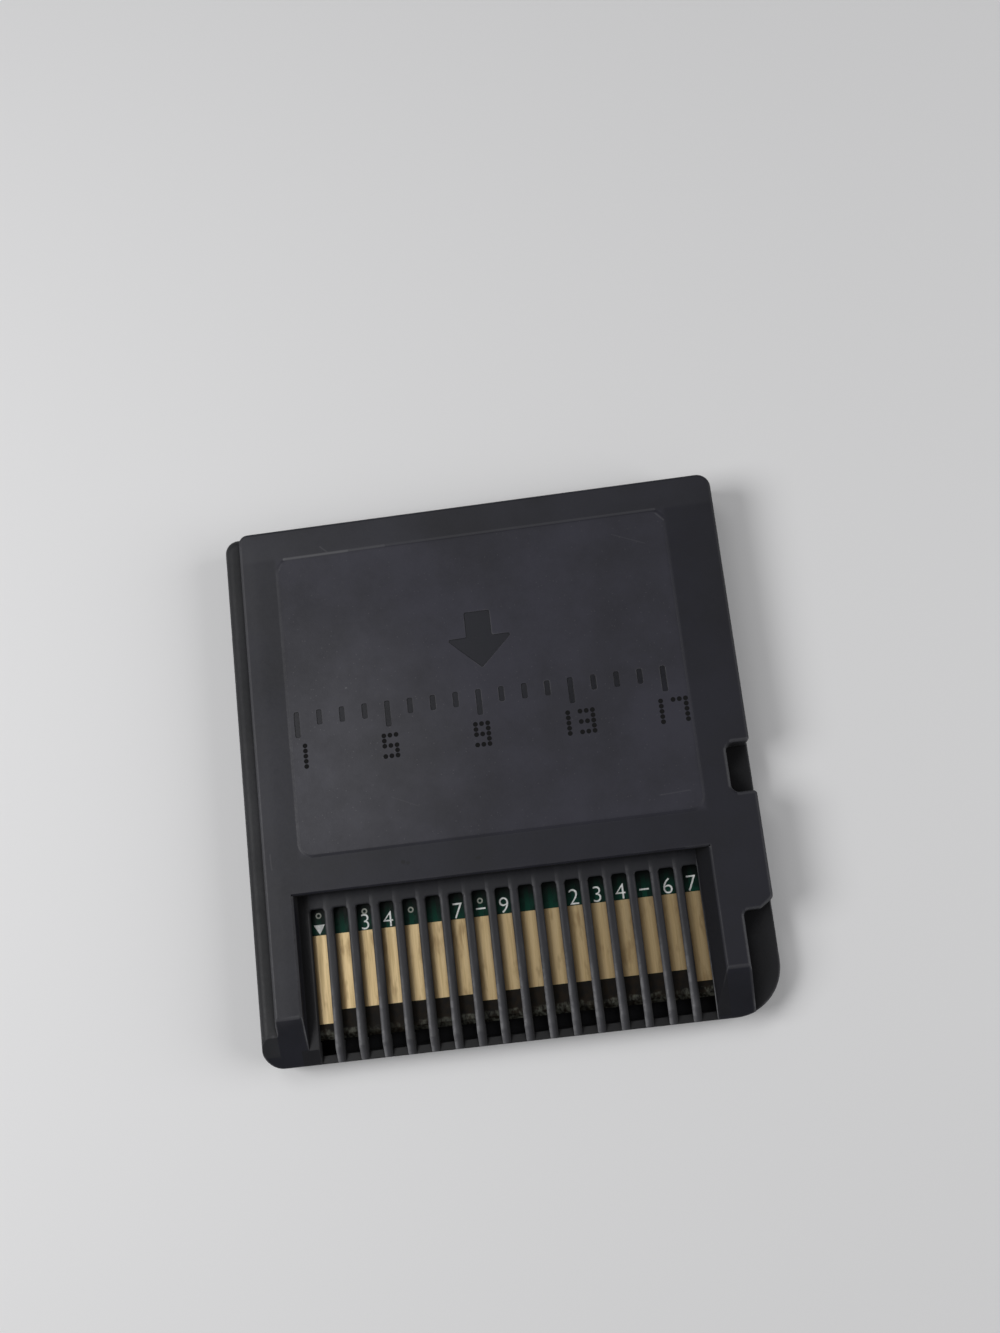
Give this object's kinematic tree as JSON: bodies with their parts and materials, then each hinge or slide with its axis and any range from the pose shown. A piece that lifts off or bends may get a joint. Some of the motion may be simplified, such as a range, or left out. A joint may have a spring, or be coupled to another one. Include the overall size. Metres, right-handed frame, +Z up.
{
  "type": "game cartridge",
  "caption": "Flat handheld game cartridge: dark plastic half shells round a circuit board, with a ribbed window over gold edge contacts, side ledge, latch notch and sloped insertion end.",
  "frame": {"origin": "on the surface the card lies on, under the middle of its outline", "axes": "+Z up out of the contact face, +Y towards the grip end, contacts at the -Y end, +X to the right as the contact face is seen"},
  "size_m": [0.033, 0.035, 0.0038],
  "materials": {
    "shell_plastic": "moulded charcoal plastic, satin frame and finely textured panel, worn paler on the edges",
    "board_green": "dark green board lacquer with a bare brown strip at the end",
    "contact_gold": "gold plate with fine wear streaks along the contacts",
    "label_film": "plain satin label with a coloured band",
    "chip_plastic": "moulded black epoxy",
    "lead_metal": "tinned leads",
    "capacitor_ceramic": "tan ceramic",
    "resistor_ceramic": "black glaze"
  },
  "bodies": {
    "root": {"rear_shell": "shell_plastic", "front_shell": "shell_plastic", "circuit_board": "board_green", "front_label": "label_film", "memory_chip": "chip_plastic", "memory_chip_leads": "lead_metal", "save_chip": "chip_plastic", "save_chip_leads": "lead_metal", "contact_pad_01": "contact_gold", "contact_pad_02": "contact_gold", "contact_pad_03": "contact_gold", "contact_pad_04": "contact_gold", "contact_pad_05": "contact_gold", "contact_pad_06": "contact_gold", "contact_pad_07": "contact_gold", "contact_pad_08": "contact_gold", "contact_pad_09": "contact_gold", "contact_pad_10": "contact_gold", "contact_pad_11": "contact_gold", "contact_pad_12": "contact_gold", "contact_pad_13": "contact_gold", "contact_pad_14": "contact_gold", "contact_pad_15": "contact_gold", "contact_pad_16": "contact_gold", "contact_pad_17": "contact_gold", "capacitor_1": "capacitor_ceramic", "capacitor_2": "capacitor_ceramic", "capacitor_3": "capacitor_ceramic", "resistor_1": "resistor_ceramic", "resistor_2": "resistor_ceramic", "resistor_3": "resistor_ceramic"}
  },
  "joints": []
}
